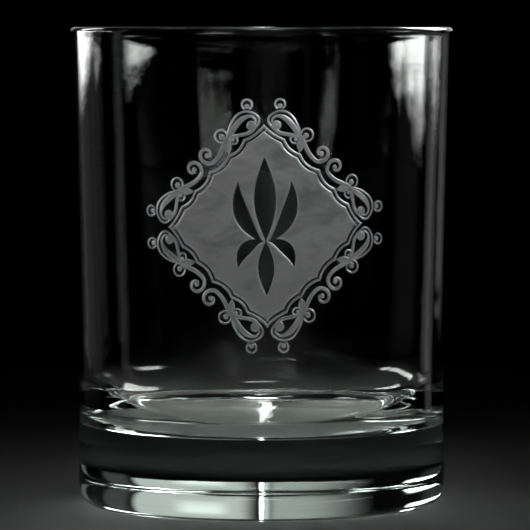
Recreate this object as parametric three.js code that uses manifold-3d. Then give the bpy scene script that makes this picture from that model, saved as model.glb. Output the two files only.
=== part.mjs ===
// Whiskey tumbler: a heavy-based double old-fashioned glass with a sand-carved medallion on its front.
// Millimetres, +Z up. The origin is on the axis, in the plane that the base ring rests on.
// The front, with the medallion, faces -Y.
import * as THREE from 'three';
import { mergeVertices } from 'three/addons/utils/BufferGeometryUtils.js';
import Module from 'manifold-3d';

const wasm = await Module();
wasm.setup();

// ---- Driving dimensions of the glass -------------------------------------------------------------
const HEIGHT = 105;
const RIM_RADIUS = 42.1;
const WAIST_RADIUS = 40.3; // the narrowest ring of the outside
const WAIST_HEIGHT = 28;
const FLARE_POWER = 1.1; // how late the wall flares out towards the rim
const HEEL_RADIUS = 40.5; // outside, where the rounded heel meets the wall
const HEEL_WIDTH = 2.8;
const HEEL_HEIGHT = 6;
const RIM_WALL = 2.0;
const LOW_WALL = 2.3;
const FLOOR_HEIGHT = 16.8; // inside floor above the table, so the base is this thick
const FILLET_WIDTH = 9.8; // the wall turns into the inside floor through a tall, rounded corner
const FILLET_RISE = 14;
const RING_WIDTH = 3.5; // flat ring that the glass stands on
const PUNT_RISE = 1.6; // hollow under the base

// ---- Driving dimensions of the medallion, measured along the curved surface ----------------------
const MEDALLION_HEIGHT = 63; // its centre above the table
const MEDALLION_TILT = THREE.MathUtils.degToRad(1);
const TIP = 21.6; // centre to each of the four points of the border
const BORDER_LINE = 0.55; // width of the frosted line around the field
const CLEAR_LINE = 0.4; // width of the polished line between that line and the field
const VOLUTE_RADIUS = 0.95; // of the curl at the end of a scroll's stem, where it has closed up
const VOLUTE_OPENING = 1.25; // how much wider the curl starts
const VOLUTE_START = THREE.MathUtils.degToRad(-120);
const VOLUTE_SWEEP = THREE.MathUtils.degToRad(340);
const CARVE_DEPTH = 0.45; // how far the frosted floors lie below the outside
const FROST_THICKNESS = 0.25; // thickness of a frosted zone's own solid
const FROST_GAP = 0.1; // clearance between a frosted zone's solid and the clear glass

// ---- How finely the surfaces are divided ---------------------------------------------------------
const SEGMENTS = 64;
const WALL_STEPS = 6;
const ARC_STEPS = 4; // even, so that the rim's arc has a point at its very top
const CARVE_REACH = 29; // half-height of the band of wall that holds the medallion
const PROUD = 2; // how far the cutting shapes stand outside the wall
const HOLLOW_STEPS = 3; // along each hollow of the border
const LOOP_STEPS = 9; // along a scroll's loop, its foot and its stem
const FOOT_STEPS = 4;
const STEM_STEPS = 15;
const VOLUTE_STEPS = 8;
const LEAF_STEPS = 8;
const DISC_STEPS = 10;
const SHARPEST_CORNER = 0.5; // cosine past which a moved corner is cut short
const THINNEST = 0.04; // half-width that a leaf's point is drawn with

const CLEAR_GLASS = new THREE.MeshStandardMaterial({ color: 0xdde6e3, roughness: 0.03, metalness: 0 });
const FROSTED_GLASS = new THREE.MeshStandardMaterial({ color: 0xa9adab, roughness: 0.6, metalness: 0 });

// ---- Solids --------------------------------------------------------------------------------------

// A closed geometry as a solid that can be joined and cut.
function toSolid(geometry) {
  const plain = geometry.index ? geometry.clone() : mergeVertices(geometry);
  plain.deleteAttribute('normal');
  plain.deleteAttribute('uv');
  const merged = mergeVertices(plain);
  const corners = merged.index.array;
  const kept = [];
  for (let i = 0; i < corners.length; i += 3) {
    const [a, b, c] = [corners[i], corners[i + 1], corners[i + 2]];
    if (a !== b && b !== c && c !== a) kept.push(a, b, c);
  }
  const vertProperties = Float32Array.from(merged.attributes.position.array);
  const triVerts = Uint32Array.from(kept);
  return new wasm.Manifold(new wasm.Mesh({ numProp: 3, vertProperties, triVerts }));
}

// A solid as a named mesh of the scene.
function toMesh(solid, name, material) {
  const { vertProperties, triVerts } = solid.getMesh();
  const geometry = new THREE.BufferGeometry();
  geometry.setAttribute('position', new THREE.BufferAttribute(vertProperties, 3));
  geometry.setIndex(new THREE.BufferAttribute(triVerts, 1));
  geometry.computeVertexNormals();
  const mesh = new THREE.Mesh(geometry, material);
  mesh.name = name;
  return mesh;
}

// A profile of (radius, height) points turned around the Z axis.
function turned(profile) {
  return toSolid(new THREE.LatheGeometry(profile, SEGMENTS).rotateX(Math.PI / 2));
}

function joined(solids) {
  return solids.reduce((whole, solid) => whole.add(solid));
}

// ---- Profile of the glass ------------------------------------------------------------------------

function outerRadius(height) {
  if (height < WAIST_HEIGHT) {
    const below = (WAIST_HEIGHT - height) / (WAIST_HEIGHT - HEEL_HEIGHT);
    return WAIST_RADIUS + (HEEL_RADIUS - WAIST_RADIUS) * below ** 2;
  }
  const above = (height - WAIST_HEIGHT) / (HEIGHT - WAIST_HEIGHT);
  return WAIST_RADIUS + (RIM_RADIUS - WAIST_RADIUS) * above ** FLARE_POWER;
}

function innerRadius(height) {
  const share = (height - FLOOR_HEIGHT) / (HEIGHT - FLOOR_HEIGHT);
  return outerRadius(height) - THREE.MathUtils.lerp(LOW_WALL, RIM_WALL, share);
}

// Points of a wall from one height to another, both included.
function wall(radiusAt, from, to, steps) {
  return Array.from({ length: steps + 1 }, (_, step) => {
    const height = THREE.MathUtils.lerp(from, to, step / steps);
    return new THREE.Vector2(radiusAt(height), height);
  });
}

function arc(centreX, centreY, radiusX, radiusY, from, to, steps = ARC_STEPS) {
  return new THREE.EllipseCurve(centreX, centreY, radiusX, radiusY, from, to, to < from).getPoints(steps);
}

function glassProfile() {
  const down = -Math.PI / 2;
  const ringOuter = HEEL_RADIUS - HEEL_WIDTH;
  const ringInner = ringOuter - RING_WIDTH;
  const rimCentre = RIM_RADIUS - RIM_WALL / 2;
  const rimStart = HEIGHT - RIM_WALL / 2;
  const filletTop = FLOOR_HEIGHT + FILLET_RISE;
  const filletCentre = innerRadius(filletTop) - FILLET_WIDTH;
  return [
    ...arc(0, 0, ringInner, PUNT_RISE, Math.PI / 2, 0),
    ...arc(ringOuter, HEEL_HEIGHT, HEEL_WIDTH, HEEL_HEIGHT, down, 0).slice(0, -1),
    ...wall(outerRadius, HEEL_HEIGHT, rimStart, WALL_STEPS).slice(0, -1),
    ...arc(rimCentre, rimStart, RIM_WALL / 2, RIM_WALL / 2, 0, Math.PI),
    ...wall(innerRadius, rimStart, filletTop, WALL_STEPS).slice(1, -1),
    ...arc(filletCentre, filletTop, FILLET_WIDTH, FILLET_RISE, 0, down),
    new THREE.Vector2(0, FLOOR_HEIGHT),
  ];
}

// A sleeve around the carved band of the wall, between two depths below the outside.
function sleeve(outerDepth, innerDepth) {
  const from = MEDALLION_HEIGHT - CARVE_REACH;
  const to = MEDALLION_HEIGHT + CARVE_REACH;
  const outside = wall((height) => outerRadius(height) - outerDepth, from, to, WALL_STEPS);
  const inside = wall((height) => outerRadius(height) - innerDepth, to, from, WALL_STEPS);
  return turned([...outside, ...inside, outside[0]]);
}

// ---- Outlines of the medallion, in its own (across, up) plane ------------------------------------

// A closed outline moved inwards; a negative distance moves it outwards.
function inset(outline, distance) {
  const clockwise = THREE.ShapeUtils.isClockWise(outline) ? -1 : 1;
  return outline.map((point, i) => {
    const before = outline[(i + outline.length - 1) % outline.length];
    const after = outline[(i + 1) % outline.length];
    const arriving = point.clone().sub(before).normalize();
    const leaving = after.clone().sub(point).normalize();
    const along = arriving.clone().add(leaving).normalize();
    const stretch = 1 / Math.max(SHARPEST_CORNER, along.dot(leaving));
    const normal = new THREE.Vector2(-along.y, along.x).multiplyScalar(clockwise * distance * stretch);
    return point.clone().add(normal);
  });
}

// The outline of a band that follows a curve, with its half-width given along the way. A clearance
// makes it narrower, down to a hair.
function band(curve, halfWidth, steps, clearance) {
  const left = [];
  const right = [];
  for (let step = 0; step <= steps; step += 1) {
    const along = step / steps;
    const point = curve.getPointAt(along);
    const tangent = curve.getTangentAt(along);
    const reach = Math.max(THINNEST, halfWidth(along) - clearance);
    const side = new THREE.Vector2(-tangent.y, tangent.x).multiplyScalar(reach);
    left.push(point.clone().add(side));
    right.unshift(point.clone().sub(side));
  }
  return [...left, ...right];
}

// A leaf between two pointed ends, bowed sideways and widest at its middle.
function leaf(start, end, width, bow, clearance) {
  const across = end.clone().sub(start);
  const side = new THREE.Vector2(-across.y, across.x).normalize();
  const middle = start.clone().lerp(end, 0.5).addScaledVector(side, bow * 2);
  const spine = new THREE.QuadraticBezierCurve(start, middle, end);
  return band(spine, (along) => (width / 2) * Math.sin(Math.PI * along), LEAF_STEPS, clearance);
}

function disc(x, y, radius, clearance) {
  const edge = new THREE.EllipseCurve(x, y, radius - clearance, radius - clearance);
  return edge.getPoints(DISC_STEPS).slice(0, -1);
}

function quarterTurned(point, quarters) {
  return point.clone().rotateAround(new THREE.Vector2(), (-quarters * Math.PI) / 2);
}

function mirrored(outline) {
  return outline.map((point) => new THREE.Vector2(-point.x, point.y)).reverse();
}

// The scalloped diamond: each half side runs through three shallow hollows between outward cusps,
// from the upper point to the middle of the side.
function borderOutline() {
  const corners = [[0, TIP], [4.4, 18.4], [7.7, 15.2], [11.8, 11.8]];
  const cusps = corners.map(([x, y]) => new THREE.Vector2(x, y));
  const hollows = [0.4, 0.65, 0.75];
  const half = hollows.flatMap((hollow, i) => {
    const towardsCentre = new THREE.Vector2(-hollow, -hollow).multiplyScalar(Math.SQRT2);
    const pulled = cusps[i].clone().lerp(cusps[i + 1], 0.5).add(towardsCentre);
    const curve = new THREE.QuadraticBezierCurve(cusps[i], pulled, cusps[i + 1]);
    return curve.getPoints(HOLLOW_STEPS).slice(0, -1);
  });
  const otherHalf = half.slice(1).reverse().map((point) => new THREE.Vector2(point.y, point.x));
  const side = [...half, cusps[3], ...otherHalf];
  return [0, 1, 2, 3].flatMap((quarter) => side.map((point) => quarterTurned(point, quarter)));
}

// One scroll of the frame, for the eighth of the medallion beside its upper point.
function scrollOutlines(clearance) {
  const at = (x, y) => new THREE.Vector2(x, y);
  const loop = new THREE.CubicBezierCurve(at(8.0, 18.9), at(6.3, 24.2), at(0.6, 25.6), at(1.9, 21.6));
  const foot = new THREE.QuadraticBezierCurve(at(1.9, 21.2), at(3.4, 19.2), at(7.9, 18.8));
  const volute = [];
  for (let step = 0; step <= VOLUTE_STEPS; step += 1) {
    const share = step / VOLUTE_STEPS;
    const angle = VOLUTE_START + VOLUTE_SWEEP * share;
    const radius = VOLUTE_RADIUS + VOLUTE_OPENING * (1 - share) ** 3;
    volute.push(at(12.35, 15.4).add(at(Math.cos(angle), Math.sin(angle)).multiplyScalar(radius)));
  }
  const stem = new THREE.SplineCurve([at(8.1, 18.9), at(8.8, 16.8), at(9.7, 14.7), ...volute]);
  return [
    band(loop, (along) => 0.45 + 0.45 * Math.sin(Math.PI * along), LOOP_STEPS, clearance),
    band(foot, () => 0.5, FOOT_STEPS, clearance),
    band(stem, (along) => 0.55 - 0.2 * along, STEM_STEPS, clearance),
    leaf(at(7.8, 19.4), at(7.4, 15.3), 2, 0, clearance),
    disc(2.5, 21.3, 1.1, clearance),
    disc(3.4, 25.4, 1.3, clearance),
    disc(9.1, 19.1, 1.55, clearance),
    disc(6.3, 18.2, 0.95, clearance),
    disc(12.1, 15.1, 0.6, clearance),
  ];
}

// The motif at the centre, a plain palmette that stays polished: leaves above and below its waist.
function palmetteOutlines(clearance) {
  const at = (x, y) => new THREE.Vector2(x, y);
  const right = [
    leaf(at(0.6, -3.4), at(5.6, 9.4), 3.2, -1.9, clearance),
    leaf(at(0.5, -3.0), at(5.9, -8.6), 2.6, 1.5, clearance),
  ];
  return [
    leaf(at(0, -3.2), at(0, 14.6), 4.6, 0, clearance),
    leaf(at(0, -3.2), at(0, -14.6), 3.4, 0, clearance),
    ...right,
    ...right.map(mirrored),
  ];
}

// ---- From flat outlines to shapes on the wall ----------------------------------------------------

// An outline as a block that runs straight through the front wall, drawn so that its lengths hold
// along the curved surface.
function block(outline) {
  const radius = outerRadius(MEDALLION_HEIGHT);
  const drawn = outline.map((point) => {
    const turnedPoint = point.clone().rotateAround(new THREE.Vector2(), MEDALLION_TILT);
    return new THREE.Vector2(radius * Math.sin(turnedPoint.x / radius), turnedPoint.y);
  });
  const settings = { depth: radius + PROUD, bevelEnabled: false };
  const geometry = new THREE.ExtrudeGeometry(new THREE.Shape(drawn), settings);
  geometry.rotateX(Math.PI / 2);
  geometry.translate(0, 0, MEDALLION_HEIGHT);
  return toSolid(geometry);
}

const cutSleeve = sleeve(-PROUD, CARVE_DEPTH + FROST_THICKNESS + FROST_GAP);
const frostSleeve = sleeve(CARVE_DEPTH, CARVE_DEPTH + FROST_THICKNESS);

// A frosted zone: the recess that it needs in the glass, and its own solid a little inside it. The
// outlines and the islands left standing in it are given for any clearance.
function frostedZone(name, outlinesAt, islandsAt = () => []) {
  const shape = (clearance) => {
    const filled = joined(outlinesAt(clearance).map(block));
    return islandsAt(-clearance).map(block).reduce((rest, island) => rest.subtract(island), filled);
  };
  return { name, recess: shape(0).intersect(cutSleeve), solid: shape(FROST_GAP).intersect(frostSleeve) };
}

const border = borderOutline();
const fieldInside = BORDER_LINE + CLEAR_LINE;
const fieldAt = (clearance) => [inset(border, fieldInside + clearance)];
const lineAt = (clearance) => [inset(border, clearance)];
const insideLineAt = (clearance) => [inset(border, BORDER_LINE + clearance)];
const zones = [
  frostedZone('frosted_field', fieldAt, palmetteOutlines),
  frostedZone('frosted_border_line', lineAt, insideLineAt),
];
for (let eighth = 0; eighth < 8; eighth += 1) {
  const quarters = Math.floor(eighth / 2);
  const outlinesAt = (clearance) => scrollOutlines(clearance).map((outline) => {
    const sided = eighth % 2 === 0 ? outline : mirrored(outline);
    return sided.map((point) => quarterTurned(point, quarters));
  });
  zones.push(frostedZone(`frosted_scroll_${eighth + 1}`, outlinesAt));
}

// ---- The tumbler ---------------------------------------------------------------------------------

const tumbler = new THREE.Group();
const clearBody = zones.reduce((glass, zone) => glass.subtract(zone.recess), turned(glassProfile()));
tumbler.add(toMesh(clearBody, 'tumbler_body', CLEAR_GLASS));
zones.forEach((zone) => tumbler.add(toMesh(zone.solid, zone.name, FROSTED_GLASS)));

export default tumbler;
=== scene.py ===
import math

import bpy
from mathutils import Matrix, Vector, noise


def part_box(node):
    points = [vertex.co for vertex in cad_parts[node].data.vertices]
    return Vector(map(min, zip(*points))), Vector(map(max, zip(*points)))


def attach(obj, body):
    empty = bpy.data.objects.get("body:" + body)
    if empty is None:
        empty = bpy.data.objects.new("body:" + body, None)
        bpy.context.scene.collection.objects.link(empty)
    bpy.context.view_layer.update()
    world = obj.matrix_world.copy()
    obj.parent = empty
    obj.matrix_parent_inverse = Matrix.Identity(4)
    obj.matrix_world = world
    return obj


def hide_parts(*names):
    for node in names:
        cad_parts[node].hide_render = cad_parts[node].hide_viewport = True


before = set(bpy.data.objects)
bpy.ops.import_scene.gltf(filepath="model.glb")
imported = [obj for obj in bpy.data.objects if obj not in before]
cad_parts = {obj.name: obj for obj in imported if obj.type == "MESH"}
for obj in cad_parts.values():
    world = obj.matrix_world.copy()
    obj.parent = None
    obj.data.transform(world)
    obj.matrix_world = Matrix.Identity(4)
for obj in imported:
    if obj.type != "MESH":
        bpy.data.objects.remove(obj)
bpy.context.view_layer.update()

# ---- The blank ------------------------------------------------------------------------------------
# The tumbler before it is engraved: one gather of clear soda-lime glass, shaped in a mould with a thick
# base, a rounded heel, a thin wall that flares a little, and a rim that a flame has melted round.
# Its outside is drawn up ring by ring, over the rim, and down again to the inside floor.

mm = 0.001
glass_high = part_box("tumbler_body")[1]
glass_height = glass_high.z
rim_radius = glass_high.x
waist_radius = rim_radius - 1.8 * mm
waist_height = 28 * mm
heel_radius = rim_radius - 1.6 * mm
heel_width = 2.8 * mm
heel_height = 6 * mm
rim_wall = 2.0 * mm
low_wall = 2.3 * mm
floor_height = 16.8 * mm
fillet_width = 9.8 * mm
fillet_rise = 14 * mm
ring_width = 3.5 * mm
punt_rise = 1.6 * mm
flare_power = 1.1
sides = 256


def outer_radius(height):
    """The outside of the wall: narrowest at the waist, flaring a little towards the rim."""
    if height < waist_height:
        below = (waist_height - height) / (waist_height - heel_height)
        return waist_radius + (heel_radius - waist_radius) * below ** 2
    above = (height - waist_height) / (glass_height - waist_height)
    return waist_radius + (rim_radius - waist_radius) * above ** flare_power


def inner_radius(height):
    share = (height - floor_height) / (glass_height - floor_height)
    return outer_radius(height) - (low_wall + (rim_wall - low_wall) * share)


def arc_points(centre, radii, start, end, steps):
    """Points on part of an ellipse in the (radius, height) plane, angles in degrees."""
    points = []
    for step in range(steps + 1):
        angle = math.radians(start + (end - start) * step / steps)
        points.append((centre[0] + radii[0] * math.cos(angle), centre[1] + radii[1] * math.sin(angle)))
    return points


def wall_points(radius_at, start, end, steps):
    heights = [start + (end - start) * step / steps for step in range(steps + 1)]
    return [(radius_at(height), height) for height in heights]


def deselect_all():
    if bpy.context.mode != "OBJECT":
        bpy.ops.object.mode_set(mode="OBJECT")
    bpy.ops.object.select_all(action="DESELECT")


def turn_glass(name, profile):
    """A closed body of revolution, drawn up from a disc by extruding its top face ring after ring."""
    deselect_all()
    radius, height = profile[0]
    bpy.ops.mesh.primitive_circle_add(
        vertices=sides, radius=radius, fill_type="NGON", location=(0, 0, height)
    )
    piece = bpy.context.object
    piece.name = name
    bpy.ops.object.transform_apply(location=True, rotation=True, scale=True)
    bpy.ops.object.mode_set(mode="EDIT")
    bpy.ops.mesh.select_mode(type="FACE")
    bpy.ops.mesh.select_all(action="SELECT")
    for next_radius, next_height in profile[1:]:
        bpy.ops.mesh.extrude_region_move(
            TRANSFORM_OT_translate={"value": (0, 0, next_height - height)}
        )
        scale = next_radius / radius
        bpy.ops.transform.resize(value=(scale, scale, 1), center_override=(0, 0, next_height))
        radius, height = next_radius, next_height
    bpy.ops.mesh.select_all(action="SELECT")
    bpy.ops.mesh.normals_make_consistent(inside=False)
    bpy.ops.object.mode_set(mode="OBJECT")
    return piece


ring_outer = heel_radius - heel_width
ring_inner = ring_outer - ring_width
rim_round = rim_wall / 2
rim_start = glass_height - rim_round
fillet_top = floor_height + fillet_rise
fillet_centre = inner_radius(fillet_top) - fillet_width

profile = arc_points((0, 0), (ring_inner, punt_rise), 89, 2, 14)
profile += [(ring_inner, 0)]
profile += arc_points((ring_outer, heel_height), (heel_width, heel_height), -90, -6, 14)
profile += wall_points(outer_radius, heel_height, rim_start, 36)
profile += arc_points((rim_radius - rim_round, rim_start), (rim_round, rim_round), 12, 168, 13)
profile += wall_points(inner_radius, rim_start, fillet_top, 60)
profile += arc_points((fillet_centre, fillet_top), (fillet_width, fillet_rise), -4, -90, 24)
floor_rings = (0.66, 0.33, 0.02)
profile += [(fillet_centre * share, floor_height) for share in floor_rings]

tumbler = turn_glass("tumbler_glass", profile)

# Glass that has set in a mould isn't quite true inside: its skin is a little wavy, most near the base,
# where it set last.
wave_depth = 0.16 * mm
calm_depth = 0.015 * mm
calm_height = 50 * mm
wave_across = 14 * mm
wave_up = 4 * mm
hair = 0.01 * mm
for vertex in tumbler.data.vertices:
    radius = math.hypot(vertex.co.x, vertex.co.y)
    above_floor = floor_height - hair < vertex.co.z < rim_start
    inside = above_floor and radius < inner_radius(vertex.co.z) + 10 * hair
    if not inside or radius < fillet_centre / 2:
        continue
    calm = min((vertex.co.z - floor_height) / (calm_height - floor_height), 1)
    depth = wave_depth + (calm_depth - wave_depth) * calm
    spot = Vector((vertex.co.x / wave_across, vertex.co.y / wave_across, vertex.co.z / wave_up))
    shift = depth * noise.noise(spot)
    out = Vector((vertex.co.x, vertex.co.y, 0)) / radius
    vertex.co -= out * (shift + depth)

# ---- The stencil's shapes -------------------------------------------------------------------------
# The medallion is sand-carved: a stencil is stuck to the glass and grit is blown at what it leaves
# bare, so each bare shape becomes a frosted hollow with sloping flanks and a flat floor. Every shape is
# drawn flat, as (across, up) from the medallion's centre, then laid round the wall and cut out of it.

medallion_height = 63 * mm
medallion_tilt = math.radians(1)
medallion_radius = outer_radius(medallion_height)
# A hollow is a list of (height, how much narrower) pairs, in millimetres, from above the glass down.
fine_hollow = [(0.5, 0.0), (0.0, 0.0), (-0.13, 0.04), (-0.26, 0.13), (-0.34, 0.25)]
deep_hollow = [(0.5, 0.0), (0.0, 0.0), (-0.18, 0.06), (-0.34, 0.17), (-0.42, 0.32)]
hairline = 0.03
sharpest_corner = 0.5


def smooth_path(points, steps):
    """A path through (across, up, half-width) points, in millimetres, that bends evenly at each."""
    path = []
    ends = [points[0]] + points + [points[-1]]
    for first, second, third, fourth in zip(ends, ends[1:], ends[2:], ends[3:]):
        for step in range(steps):
            t = step / steps
            path.append(tuple(
                0.5 * (2 * b + (c - a) * t + (2 * a - 5 * b + 4 * c - d) * t ** 2
                       + (3 * b - a - 3 * c + d) * t ** 3)
                for a, b, c, d in zip(first, second, third, fourth)
            ))
    return path + [points[-1]]


def ring_path(centre, radius, start, end, half_width, steps=20):
    """An arc of a circle as a path, angles in degrees."""
    path = []
    for step in range(steps + 1):
        angle = math.radians(start + (end - start) * step / steps)
        path.append((centre[0] + radius * math.cos(angle), centre[1] + radius * math.sin(angle), half_width))
    return path


def stroke(path):
    """The outline of a band along a path, as a function of how much narrower it is drawn."""
    def outline(narrower):
        left, right = [], []
        for place, (across, up, half_width) in enumerate(path):
            before = path[max(place - 1, 0)]
            after = path[min(place + 1, len(path) - 1)]
            along = Vector((after[0] - before[0], after[1] - before[1])).normalized()
            reach = max(half_width - narrower, hairline)
            left.append((across - along.y * reach, up + along.x * reach))
            right.append((across + along.y * reach, up - along.x * reach))
        return left + right[::-1]
    return outline


def disc(across, up, radius, steps=28):
    def outline(narrower):
        angles = [2 * math.pi * step / steps for step in range(steps)]
        reach = max(radius - narrower, hairline)
        return [(across + reach * math.cos(angle), up + reach * math.sin(angle)) for angle in angles]
    return outline


def leaf(start, end, width, bow, steps=22):
    """A pointed leaf, bowed to one side and widest halfway."""
    chord = Vector(end) - Vector(start)
    side = Vector((-chord.y, chord.x)).normalized()
    path = []
    for step in range(steps + 1):
        share = step / steps
        spine = Vector(start) + chord * share + side * bow * 4 * share * (1 - share)
        path.append((spine.x, spine.y, width / 2 * math.sin(math.pi * share)))
    return stroke(path)


def moved_in(outline, distance):
    """A closed, clockwise outline moved inwards, each corner along its own middle line."""
    moved = []
    for place, point in enumerate(outline):
        here, before = Vector(point), Vector(outline[place - 1])
        after = Vector(outline[(place + 1) % len(outline)])
        leaving = (after - here).normalized()
        along = ((here - before).normalized() + leaving).normalized()
        inward = Vector((along.y, -along.x))
        moved.append(tuple(here + inward * distance / max(along.dot(leaving), sharpest_corner)))
    return moved


def stencil_block(name, outline_at, levels):
    """A closed block whose outline changes from level to level, drawn down from its top face."""
    deselect_all()
    outline = outline_at(levels[0][1])
    bpy.ops.mesh.primitive_circle_add(vertices=len(outline), radius=1, fill_type="NGON")
    block = bpy.context.object
    block.name = name
    for vertex, (across, up) in zip(block.data.vertices, outline):
        vertex.co = (across, up, levels[0][0])
    bpy.ops.object.mode_set(mode="EDIT")
    bpy.ops.mesh.select_mode(type="VERT")
    bpy.ops.mesh.select_all(action="SELECT")
    for height, narrower in levels[1:]:
        bpy.ops.mesh.extrude_region_move()
        bpy.ops.object.mode_set(mode="OBJECT")
        count = len(outline)
        for vertex, (across, up) in zip(block.data.vertices[-count:], outline_at(narrower)):
            vertex.co = (across, up, height)
        bpy.ops.object.mode_set(mode="EDIT")
    bpy.ops.mesh.select_all(action="SELECT")
    bpy.ops.mesh.normals_make_consistent(inside=False)
    bpy.ops.object.mode_set(mode="OBJECT")
    return block


def combine(piece, other, operation):
    """Joins or cuts one closed body with another, which is used up."""
    deselect_all()
    piece.select_set(True)
    bpy.context.view_layer.objects.active = piece
    cut = piece.modifiers.new(operation.lower(), "BOOLEAN")
    cut.operation = operation
    cut.solver = "MANIFOLD"
    cut.object = other
    bpy.ops.object.modifier_apply(modifier=cut.name)
    bpy.data.objects.remove(other)


def lay_on_wall(block):
    """Bends a flat block round the wall; its heights become depths below the outside."""
    turn = Matrix.Rotation(medallion_tilt, 2)
    for vertex in block.data.vertices:
        across, up = turn @ vertex.co.xy * mm
        height = medallion_height + up
        radius = outer_radius(height) + vertex.co.z * mm
        angle = across / medallion_radius
        vertex.co = (radius * math.sin(angle), -radius * math.cos(angle), height)


# ---- The field and its line -----------------------------------------------------------------------
# The middle of the medallion is a diamond with scalloped sides, blasted deepest. A palmette stands in
# it, still polished, where the stencil stayed on. A fine carved line follows the diamond's edge, with a
# hair of polished glass between.

tip = 21.6
line_width = 0.55
clear_width = 0.4
cusps = [(0, tip), (4.4, 18.4), (7.7, 15.2), (11.8, 11.8)]
hollows = [0.4, 0.65, 0.75]
hollow_steps = 8


def scalloped_diamond():
    """The border's outline, clockwise from its upper point."""
    half = []
    for (start, end), hollow in zip(zip(cusps, cusps[1:]), hollows):
        middle = (Vector(start) + Vector(end)) / 2 - Vector((hollow, hollow)) * math.sqrt(2)
        for step in range(hollow_steps):
            t = step / hollow_steps
            point = Vector(start) * (1 - t) ** 2 + middle * 2 * t * (1 - t) + Vector(end) * t ** 2
            half.append((point.x, point.y))
    side = half + [cusps[-1]] + [(up, across) for across, up in half[:0:-1]]
    outline = []
    for quarter in range(4):
        turn = Matrix.Rotation(-quarter * math.pi / 2, 2)
        outline += [tuple(turn @ Vector(point)) for point in side]
    return outline


diamond = scalloped_diamond()
field_edge = line_width + clear_width
field = stencil_block("field", lambda narrower: moved_in(diamond, field_edge + narrower), deep_hollow)
# Its floor is divided, so that it can follow the wall round.
deselect_all()
field.select_set(True)
bpy.context.view_layer.objects.active = field
bpy.ops.object.mode_set(mode="EDIT")
last_slice = 20
for line in range(-last_slice, last_slice + 1):
    bpy.ops.mesh.select_all(action="SELECT")
    bpy.ops.mesh.bisect(plane_co=(line, 0, 0), plane_no=(1, 0, 0))
    bpy.ops.mesh.select_all(action="SELECT")
    bpy.ops.mesh.bisect(plane_co=(0, line, 0), plane_no=(0, 1, 0))
bpy.ops.object.mode_set(mode="OBJECT")

# What stays polished stands in the hollow on a wide, sloping foot.
island = [
    (0.8, 0.0), (0.0, 0.0), (-0.14, -0.06), (-0.26, -0.16),
    (-0.35, -0.30), (-0.41, -0.48), (-0.42, -0.6), (-0.8, -0.6),
]
inner_flank = [(0.8, 0.0), (0.0, 0.0), (-0.13, -0.04), (-0.26, -0.13), (-0.34, -0.25), (-0.8, -0.25)]
palmette = [
    leaf((0, -3.2), (0, 14.6), 4.6, 0),
    leaf((0, -3.2), (0, -14.6), 3.4, 0),
    leaf((0.6, -3.4), (5.6, 9.4), 3.2, -1.9),
    leaf((0.5, -3.0), (5.9, -8.6), 2.6, 1.5),
    leaf((-0.6, -3.4), (-5.6, 9.4), 3.2, 1.9),
    leaf((-0.5, -3.0), (-5.9, -8.6), 2.6, -1.5),
]
for outline_at in palmette:
    combine(field, stencil_block("leaf", outline_at, island), "DIFFERENCE")

line_block = stencil_block("line", lambda narrower: moved_in(diamond, narrower), fine_hollow)
inside_line = stencil_block(
    "inside_line", lambda narrower: moved_in(diamond, line_width + narrower), inner_flank
)
combine(line_block, inside_line, "DIFFERENCE")

# ---- The scrolls ----------------------------------------------------------------------------------
# Eight like scrolls frame the diamond, each the mirror of the next. In a scroll a leafy loop closes on
# a ball, with an eyelet at its back and a bud at its knot, and a stem runs on and curls into a volute.

# Every stroke follows a list of (across, up, half-width) points, in millimetres.
volute = []
volute_centre = (12.35, 15.4)
volute_radius = 0.95
volute_opening = 1.25
volute_start = -120
volute_sweep = 340
volute_steps = 14
stem_half_width = 0.42
stem_taper = 0.14
for step in range(volute_steps + 1):
    share = step / volute_steps
    angle = math.radians(volute_start + volute_sweep * share)
    radius = volute_radius + volute_opening * (1 - share) ** 3
    across = volute_centre[0] + radius * math.cos(angle)
    up = volute_centre[1] + radius * math.sin(angle)
    volute.append((across, up, stem_half_width - stem_taper * share))
strokes = [
    smooth_path([(7.7, 19.0, 0.25), (7.1, 21.3, 0.25), (5.5, 23.6, 0.25), (3.4, 24.3, 0.25),
                 (1.4, 23.4, 0.25), (0.95, 22.1, 0.25), (1.7, 20.9, 0.25)], 5),
    smooth_path([(7.4, 18.9, 0.55), (6.2, 20.9, 0.62), (4.7, 22.6, 0.58), (3.0, 23.3, 0.32),
                 (1.9, 22.7, 0.26), (1.75, 21.9, 0.26)], 5),
    smooth_path([(1.75, 21.1, 0.4), (3.1, 19.8, 0.42), (5.2, 19.3, 0.4), (7.5, 18.9, 0.5)], 5),
    smooth_path([(7.9, 18.9, 0.5), (8.6, 17.0, 0.48), (9.65, 14.95, 0.45)] + volute[::2], 5),
    ring_path((3.45, 25.75), 1.05, -65, 245, 0.24),
    ring_path((9.05, 19.15), 1.32, 210, -110, 0.23),
    ring_path((6.35, 18.25), 0.8, 60, 300, 0.22, 14),
]
scroll_outlines = [stroke(path) for path in strokes] + [
    leaf((7.9, 19.3), (7.4, 15.3), 1.7, 0),
    disc(2.6, 21.3, 1.05),
    disc(3.45, 25.35, 0.55, 18),
    disc(8.85, 19.0, 0.62, 20),
    disc(6.65, 18.3, 0.42, 16),
    disc(12.1, 15.1, 0.55, 20),
]
scroll = None
for outline_at in scroll_outlines:
    block = stencil_block("scroll", outline_at, fine_hollow)
    if scroll is None:
        scroll = block
    else:
        combine(scroll, block, "UNION")

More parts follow.
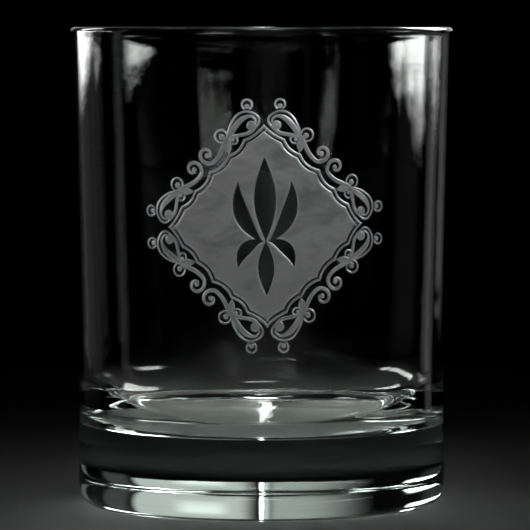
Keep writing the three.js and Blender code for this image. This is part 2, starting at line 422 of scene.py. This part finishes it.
carvings = [field, line_block]
for eighth in range(8):
    copy = bpy.data.objects.new(f"scroll_{eighth + 1}", scroll.data.copy())
    bpy.context.collection.objects.link(copy)
    deselect_all()
    copy.select_set(True)
    bpy.context.view_layer.objects.active = copy
    copy.scale.x = 1 if eighth % 2 == 0 else -1
    bpy.ops.object.transform_apply(location=False, rotation=False, scale=True)
    copy.rotation_euler.z = -(eighth // 2) * math.pi / 2
    bpy.ops.object.transform_apply(location=False, rotation=True, scale=False)
    bpy.ops.object.mode_set(mode="EDIT")
    bpy.ops.mesh.select_all(action="SELECT")
    bpy.ops.mesh.normals_make_consistent(inside=False)
    bpy.ops.object.mode_set(mode="OBJECT")
    carvings.append(copy)
bpy.data.objects.remove(scroll)

# ---- Carving --------------------------------------------------------------------------------------
# The grit takes the shapes out of the wall, which stays one piece of glass. What it touched is frosted,
# because it is now a crowd of tiny chips, and all else keeps its polish.

for block in carvings:
    lay_on_wall(block)
    combine(tumbler, block, "DIFFERENCE")

clear_glass = bpy.data.materials.new("clear_glass")
clear_glass.use_nodes = True
nodes = clear_glass.node_tree.nodes
links = clear_glass.node_tree.links
shader = nodes["Principled BSDF"]
shader.inputs["Base Color"].default_value = (0.97, 0.985, 0.975, 1)
shader.inputs["Roughness"].default_value = 0.0
shader.inputs["IOR"].default_value = 1.51
shader.inputs["Transmission Weight"].default_value = 1.0
tint = nodes.new("ShaderNodeVolumeAbsorption")
tint.inputs["Color"].default_value = (0.80, 0.93, 0.87, 1)
tint.inputs["Density"].default_value = 14
links.new(tint.outputs[0], nodes["Material Output"].inputs["Volume"])
# The skin has faint draw lines that run up the wall, and a finer orange peel all over.
place = nodes.new("ShaderNodeTexCoord")
along_wall = nodes.new("ShaderNodeMapping")
along_wall.inputs["Scale"].default_value = (1, 1, 0.06)
links.new(place.outputs["Object"], along_wall.inputs["Vector"])
draw_lines = nodes.new("ShaderNodeTexNoise")
draw_lines.inputs["Scale"].default_value = 400
draw_lines.inputs["Detail"].default_value = 3
links.new(along_wall.outputs[0], draw_lines.inputs["Vector"])
orange_peel = nodes.new("ShaderNodeTexNoise")
orange_peel.inputs["Scale"].default_value = 260
orange_peel.inputs["Detail"].default_value = 2
links.new(place.outputs["Object"], orange_peel.inputs["Vector"])
line_bump = nodes.new("ShaderNodeBump")
line_bump.inputs["Strength"].default_value = 1
line_bump.inputs["Distance"].default_value = 0.000006
links.new(draw_lines.outputs[0], line_bump.inputs["Height"])
peel_bump = nodes.new("ShaderNodeBump")
peel_bump.inputs["Strength"].default_value = 1
peel_bump.inputs["Distance"].default_value = 0.000010
links.new(orange_peel.outputs[0], peel_bump.inputs["Height"])
links.new(line_bump.outputs[0], peel_bump.inputs["Normal"])
links.new(peel_bump.outputs[0], shader.inputs["Normal"])

# Frost: a crowd of tiny chips that scatters light, with the cloudy, slanting strokes of the hand that held
# the nozzle, and a painted glow: painted lighter towards its bottom, as if lit from below, and darker at its
# top.
frosted_glass = bpy.data.materials.new("frosted_glass")
frosted_glass.use_nodes = True
nodes = frosted_glass.node_tree.nodes
links = frosted_glass.node_tree.links
shader = nodes["Principled BSDF"]
shader.inputs["IOR"].default_value = 1.51
place = nodes.new("ShaderNodeTexCoord")
slanting = nodes.new("ShaderNodeMapping")
slanting.inputs["Rotation"].default_value = (0, math.radians(35), 0)
slanting.inputs["Scale"].default_value = (1.0, 1.0, 2.6)
links.new(place.outputs["Object"], slanting.inputs["Vector"])
clouds = nodes.new("ShaderNodeTexNoise")
clouds.inputs["Scale"].default_value = 110
clouds.inputs["Detail"].default_value = 6
clouds.inputs["Roughness"].default_value = 0.62
clouds.inputs["Distortion"].default_value = 0.6
links.new(slanting.outputs[0], clouds.inputs["Vector"])
grit = nodes.new("ShaderNodeTexNoise")
grit.inputs["Scale"].default_value = 3500
grit.inputs["Detail"].default_value = 2
links.new(place.outputs["Object"], grit.inputs["Vector"])
heights = nodes.new("ShaderNodeSeparateXYZ")
links.new(place.outputs["Object"], heights.inputs[0])
# Painted glow: the frost is painted lighter towards the bottom of the medallion and darker towards its top,
# standing in for light that falls on it from below.
painted_glow_from_below = nodes.new("ShaderNodeMapRange")
painted_glow_from_below.inputs["From Min"].default_value = medallion_height - tip * mm
painted_glow_from_below.inputs["From Max"].default_value = medallion_height + tip * mm
painted_glow_from_below.inputs["To Min"].default_value = 0.75
painted_glow_from_below.inputs["To Max"].default_value = -0.10
links.new(heights.outputs["Z"], painted_glow_from_below.inputs["Value"])
# The cloudy strokes plus that painted glow from below.
mottle_and_painted_glow = nodes.new("ShaderNodeMath")
mottle_and_painted_glow.operation = "MULTIPLY_ADD"
mottle_and_painted_glow.inputs[1].default_value = 1.9
links.new(clouds.outputs[0], mottle_and_painted_glow.inputs[0])
links.new(painted_glow_from_below.outputs[0], mottle_and_painted_glow.inputs[2])
# Shallow strokes and sloping flanks are painted whiter than the deep, flat floor of the field: a painted
# highlight where they catch the light.
below = nodes.new("ShaderNodeAttribute")
below.attribute_name = "carved_depth"
painted_flank_highlight = nodes.new("ShaderNodeMapRange")
painted_flank_highlight.inputs["From Min"].default_value = 0.42 * mm
painted_flank_highlight.inputs["From Max"].default_value = 0.34 * mm
painted_flank_highlight.inputs["To Min"].default_value = 0.0
painted_flank_highlight.inputs["To Max"].default_value = 0.6
links.new(below.outputs["Fac"], painted_flank_highlight.inputs["Value"])
whiter = nodes.new("ShaderNodeMath")
whiter.operation = "ADD"
links.new(mottle_and_painted_glow.outputs[0], whiter.inputs[0])
links.new(painted_flank_highlight.outputs[0], whiter.inputs[1])
whiteness = nodes.new("ShaderNodeValToRGB")
whiteness.color_ramp.elements[0].position = 0.5
whiteness.color_ramp.elements[0].color = (0.30, 0.32, 0.32, 1)
whiteness.color_ramp.elements[1].position = 0.95
whiteness.color_ramp.elements[1].color = (0.95, 0.96, 0.97, 1)
scaled = nodes.new("ShaderNodeMath")
scaled.operation = "MULTIPLY"
scaled.inputs[1].default_value = 0.667
links.new(whiter.outputs[0], scaled.inputs[0])
links.new(scaled.outputs[0], whiteness.inputs[0])
links.new(whiteness.outputs[0], shader.inputs["Base Color"])
# Transmission follows the same mix: less clear where the frost is whiter, so it also carries the painted
# glow from below and the painted flank highlight.
clearness = nodes.new("ShaderNodeMapRange")
clearness.inputs["From Min"].default_value = 0.5
clearness.inputs["From Max"].default_value = 0.95
clearness.inputs["To Min"].default_value = 0.72
clearness.inputs["To Max"].default_value = 0.25
links.new(scaled.outputs[0], clearness.inputs["Value"])
links.new(clearness.outputs[0], shader.inputs["Transmission Weight"])
dullness = nodes.new("ShaderNodeMapRange")
dullness.inputs["From Min"].default_value = 0.3
dullness.inputs["From Max"].default_value = 0.7
dullness.inputs["To Min"].default_value = 0.42
dullness.inputs["To Max"].default_value = 0.62
links.new(clouds.outputs[0], dullness.inputs["Value"])
links.new(dullness.outputs[0], shader.inputs["Roughness"])
grit_bump = nodes.new("ShaderNodeBump")
grit_bump.inputs["Strength"].default_value = 0.6
grit_bump.inputs["Distance"].default_value = 0.00004
links.new(grit.outputs[0], grit_bump.inputs["Height"])
stroke_bump = nodes.new("ShaderNodeBump")
stroke_bump.inputs["Strength"].default_value = 0.8
stroke_bump.inputs["Distance"].default_value = 0.00012
links.new(clouds.outputs[0], stroke_bump.inputs["Height"])
links.new(grit_bump.outputs[0], stroke_bump.inputs["Normal"])
links.new(stroke_bump.outputs[0], shader.inputs["Normal"])

tumbler.data.materials.clear()
tumbler.data.materials.append(clear_glass)
tumbler.data.materials.append(frosted_glass)

deselect_all()
tumbler.select_set(True)
bpy.context.view_layer.objects.active = tumbler
bpy.ops.object.shade_smooth_by_angle(angle=math.radians(35))

carved_depth = tumbler.data.attributes.new("carved_depth", "FLOAT", "POINT")
for vertex, depth in zip(tumbler.data.vertices, carved_depth.data):
    depth.value = outer_radius(vertex.co.z) - math.hypot(vertex.co.x, vertex.co.y)

# The polished outside takes the true normals of the turned wall, so the cuts don't dent its shine.
wall_normals = [Vector((0, 0, 0))] * len(tumbler.data.loops)
polished = 0.012 * mm
well_outside = 1.0 * mm
half_span = 0.5 * mm
for face in tumbler.data.polygons:
    corners = [tumbler.data.vertices[index].co for index in face.vertices]
    middle = face.center
    outside = math.hypot(middle.x, middle.y) > inner_radius(max(middle.z, heel_height)) + well_outside
    on_wall = heel_height < middle.z < rim_start and outside
    depths = [outer_radius(corner.z) - math.hypot(corner.x, corner.y) for corner in corners]
    carved = on_wall and max(depths) > polished
    face.material_index = 1 if carved else 0
    if not on_wall or carved:
        continue
    for loop_index, corner in zip(face.loop_indices, corners):
        flare = outer_radius(corner.z + half_span) - outer_radius(corner.z - half_span)
        slope = flare / (2 * half_span)
        outwards = Vector((corner.x, corner.y, -slope * math.hypot(corner.x, corner.y)))
        wall_normals[loop_index] = outwards.normalized()
tumbler.data.normals_split_custom_set(wall_normals)

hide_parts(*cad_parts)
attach(tumbler, "root")

# ---- Studio ---------------------------------------------------------------------------------------
# A pale, plain floor with a soft pool of light on it, and darkness behind. Soft lamps stand around the
# glass, beside it, behind it and over it, and light the glass alone, so that its edges draw themselves.

deselect_all()
bpy.ops.mesh.primitive_plane_add(size=4.0, location=(0, 0, 0))
studio_floor = bpy.context.object
studio_floor.name = "studio_floor"
pale = bpy.data.materials.new("pale_floor")
pale.use_nodes = True
pale.node_tree.nodes["Principled BSDF"].inputs["Base Color"].default_value = (0.6, 0.6, 0.6, 1)
pale.node_tree.nodes["Principled BSDF"].inputs["Roughness"].default_value = 0.7
studio_floor.data.materials.append(pale)

world = bpy.data.worlds.new("studio_dark")
world.use_nodes = True
world.node_tree.nodes["Background"].inputs["Color"].default_value = (0.0, 0.0, 0.0, 1)
bpy.context.scene.world = world
bpy.context.scene.view_settings.view_transform = "Standard"

glass_only = bpy.data.collections.new("lit_by_softboxes")
glass_only.objects.link(tumbler)


def place_lamp(name, light, turn, distance, height, aim):
    """Stands a lamp at a compass turn from the front, in degrees, aimed at a height on the axis."""
    lamp = bpy.data.objects.new(name, light)
    bpy.context.collection.objects.link(lamp)
    angle = math.radians(turn)
    place = Vector((distance * math.sin(angle), -distance * math.cos(angle), height))
    direction = Vector((0, 0, aim)) - place
    lamp.matrix_world = Matrix.Translation(place) @ direction.to_track_quat("-Z", "Y").to_matrix().to_4x4()
    return lamp


def softbox(name, turn, distance, low, high, width, roll, radiance, fades):
    """A lamp behind a diffuser, which dims over a share of its width or height at each of its sides."""
    light = bpy.data.lights.new(name, "AREA")
    light.shape = "RECTANGLE"
    light.size = width
    light.size_y = high - low
    light.energy = radiance * width * (high - low) * math.pi
    light.use_nodes = True
    nodes = light.node_tree.nodes
    links = light.node_tree.links
    place = nodes.new("ShaderNodeNewGeometry")
    parts = nodes.new("ShaderNodeSeparateXYZ")
    links.new(place.outputs["Parametric"], parts.inputs[0])
    glow = nodes["Emission"].inputs["Strength"]
    glow.default_value = 1
    sides = [("X", 0, 1), ("X", 1, -1), ("Y", 0, 1), ("Y", 1, -1)]
    for (axis, edge, inwards), share in zip(sides, fades):
        ramp = nodes.new("ShaderNodeMapRange")
        ramp.interpolation_type = "SMOOTHSTEP"
        ramp.inputs["From Min"].default_value = edge
        ramp.inputs["From Max"].default_value = edge + inwards * share
        links.new(parts.outputs[axis], ramp.inputs["Value"])
        dimmed = nodes.new("ShaderNodeMath")
        dimmed.operation = "MULTIPLY"
        dimmed.inputs[1].default_value = 1
        links.new(ramp.outputs[0], dimmed.inputs[0])
        links.new(dimmed.outputs[0], glow)
        glow = dimmed.inputs[1]
    lamp = place_lamp(name, light, turn, distance, (low + high) / 2, (low + high) / 2)
    lamp.matrix_world = lamp.matrix_world @ Matrix.Rotation(math.radians(roll), 4, "Z")
    lamp.light_linking.receiver_collection = glass_only


# Name, turn, distance, low and high edge, width, roll, radiance, and the shares that fade: at the
# lamp's left and right as it faces the glass, then at its low and high edge.
view_turn = 1.2
behind = 180 - view_turn
softbox("left_key_front", -104, 0.5, 0.098, 0.139, 0.16, 10, 20, (0.3, 0.6, 0.8, 0.2))
softbox("left_key_middle", -118, 0.5, 0.088, 0.139, 0.17, 10, 22, (0.3, 0.4, 0.8, 0.2))
softbox("left_key_rear", -134, 0.5, 0.068, 0.139, 0.20, 4, 15, (0.35, 0.3, 0.8, 0.2))
softbox("right_key", 90, 0.5, 0.106, 0.140, 0.30, -5, 12, (0.3, 0.5, 0.4, 0.2))
softbox("left_edge", -126, 0.2, 0.0, 0.40, 0.14, 0, 0.04, (0.3, 0.3, 0.05, 0.2))
softbox("right_edge", 118, 0.2, 0.0, 0.40, 0.05, 0, 0.2, (0.4, 0.4, 0.02, 0.2))
softbox("right_back", 142, 0.4, 0.0, 0.40, 0.12, 0, 0.06, (0.3, 0.3, 0.05, 0.2))
softbox("right_top", 141, 0.5, 0.20, 0.55, 0.28, 0, 20, (0.2, 0.2, 0.2, 0.2))
softbox("left_top", -138, 0.5, 0.20, 0.45, 0.10, 0, 12, (0.2, 0.2, 0.2, 0.2))
softbox("front_top", 0, 0.6, 0.7, 1.1, 0.4, 0, 6.5, (0.2, 0.2, 0.2, 0.2))
softbox("back_right", behind - 17.0, 3.0, 0.15, 2.60, 1.80, 0, 0.60, (0.12, 0.15, 0.02, 0.8))
softbox("back_left", behind + 13.6, 3.0, 0.15, 2.60, 1.45, 0, 0.40, (0.12, 0.8, 0.02, 0.8))
softbox("window_right", behind - 13, 2.9, 0.15, 0.60, 0.80, 0, 0.5, (0.4, 0.3, 0.02, 0.95))
softbox("back_glow", behind + 0.8, 2.9, 0.15, 2.0, 0.12, 0, 0.6, (0.5, 0.5, 0.02, 0.6))
softbox("back_strip", behind, 2.9, 0.15, 5.0, 0.06, 0, 8, (0.45, 0.45, 0.02, 0.2))

pool = bpy.data.lights.new("floor_light", "SPOT")
pool.energy = 2.2
pool.spot_size = math.radians(40)
pool.spot_blend = 1.0
pool.shadow_soft_size = 0.10
lamp = bpy.data.objects.new("floor_light", pool)
bpy.context.collection.objects.link(lamp)
lamp.location = (0, -0.3, 0.6)

camera_distance = 0.933
camera_height = 0.105
azimuth = math.radians(view_turn)
camera_data = bpy.data.cameras.new("camera")
camera_data.sensor_width = 36
camera_data.lens = 287.3
camera = bpy.data.objects.new("camera", camera_data)
bpy.context.collection.objects.link(camera)
camera.location = (-camera_distance * math.sin(azimuth), -camera_distance * math.cos(azimuth), camera_height)
look_down = 3.22
look_aside = 0.047
camera.rotation_euler = (math.radians(90 - look_down), 0, -azimuth - math.radians(look_aside))
bpy.context.scene.camera = camera
